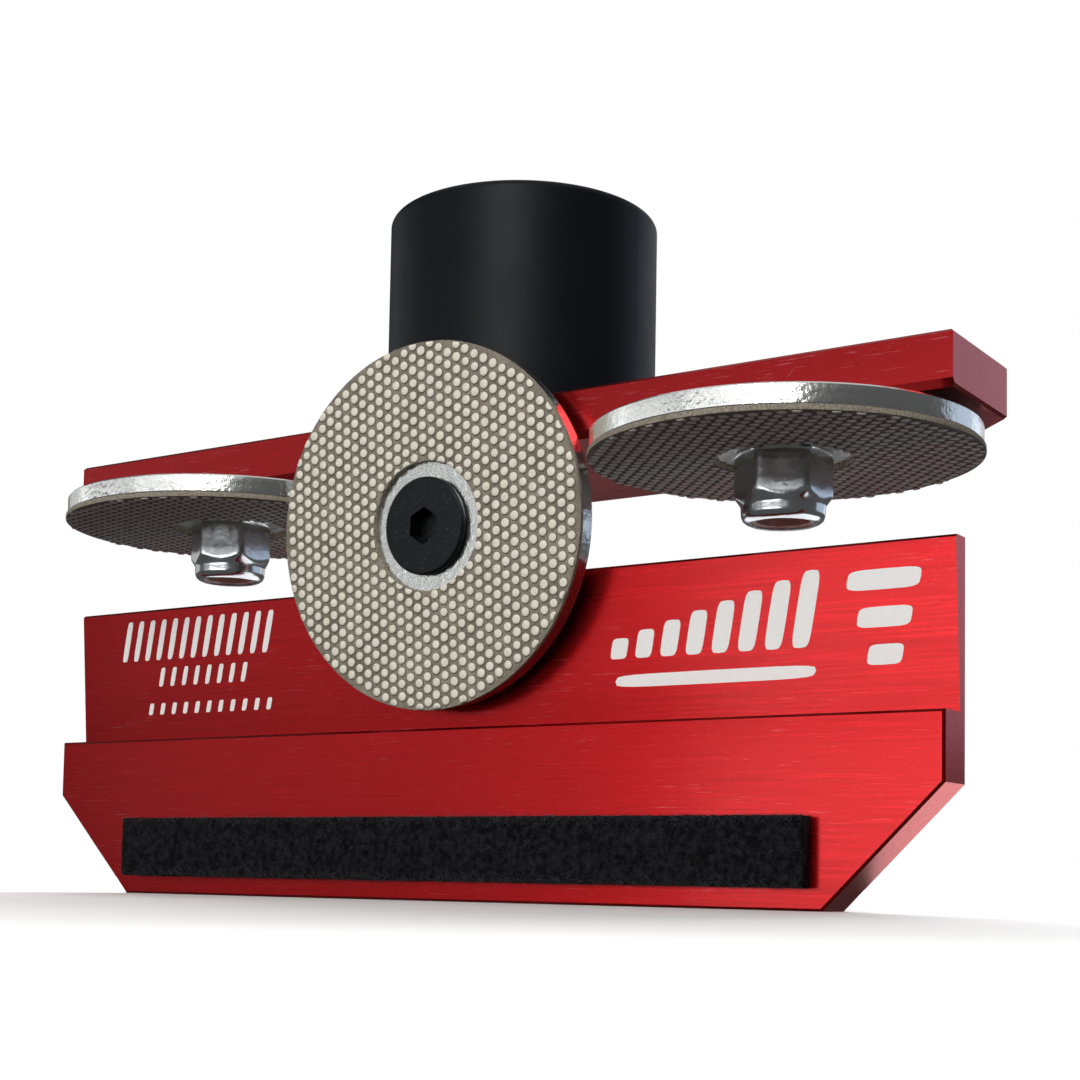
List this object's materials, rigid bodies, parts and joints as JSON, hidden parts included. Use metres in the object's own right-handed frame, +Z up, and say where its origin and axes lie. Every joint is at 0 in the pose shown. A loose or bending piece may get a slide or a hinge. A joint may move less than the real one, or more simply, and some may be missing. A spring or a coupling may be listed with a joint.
{
  "type": "ski edge tuning tool",
  "caption": "Hand-held edge tuner for skis: two anodised plates at a right angle carry three turning abrasive discs, a felt guide strip and a round handle.",
  "frame": {"origin": "middle of the guide plate's lower edge", "axes": "+X along the tool, +Y to the back, away from the felt and the front disc, and +Z up along the handle"},
  "size_m": [0.131, 0.0492, 0.089],
  "materials": {
    "red_anodised": "red anodised, satin",
    "plain_aluminium": "milled",
    "felt": "black felt",
    "handle_plastic": "black acetal, satin",
    "zinc_steel": "bright zinc plated",
    "black_steel": "black oxide",
    "abrasive": "diamond dot abrasive sheet",
    "nylon": "natural nylon",
    "brass": "turned"
  },
  "bodies": {
    "frame": {"top_plate": "red_anodised", "guide_plate": "red_anodised", "centre_block": "plain_aluminium", "felt_strip": "felt", "handle": "handle_plastic", "handle_insert": "brass", "handle_screw": "black_steel", "block_top_screws": "black_steel", "block_front_screws": "black_steel", "left_washer": "nylon", "left_disc_screw": "black_steel", "left_lock_nut": "zinc_steel", "right_washer": "nylon", "right_disc_screw": "black_steel", "right_lock_nut": "zinc_steel", "front_washer": "zinc_steel", "front_disc_screw": "black_steel", "front_lock_nut": "zinc_steel", "lock_nut_inserts": "nylon"},
    "left_wheel": {"left_disc": "zinc_steel", "left_abrasive": "abrasive"},
    "right_wheel": {"right_disc": "zinc_steel", "right_abrasive": "abrasive"},
    "front_wheel": {"front_disc": "zinc_steel", "front_abrasive": "abrasive"}
  },
  "joints": [
    {"name": "left_disc_turn", "type": "hinge", "parent": "frame", "child": "left_wheel", "pos_m": [-0.04275, 0.006, 0.0528], "axis": [0, 0, 1], "continuous": true},
    {"name": "right_disc_turn", "type": "hinge", "parent": "frame", "child": "right_wheel", "pos_m": [0.04275, 0.006, 0.0528], "axis": [0, 0, 1], "continuous": true},
    {"name": "front_disc_turn", "type": "hinge", "parent": "frame", "child": "front_wheel", "pos_m": [0, -0.00045, 0.0459], "axis": [0, -0.9976, -0.0698], "continuous": true}
  ]
}
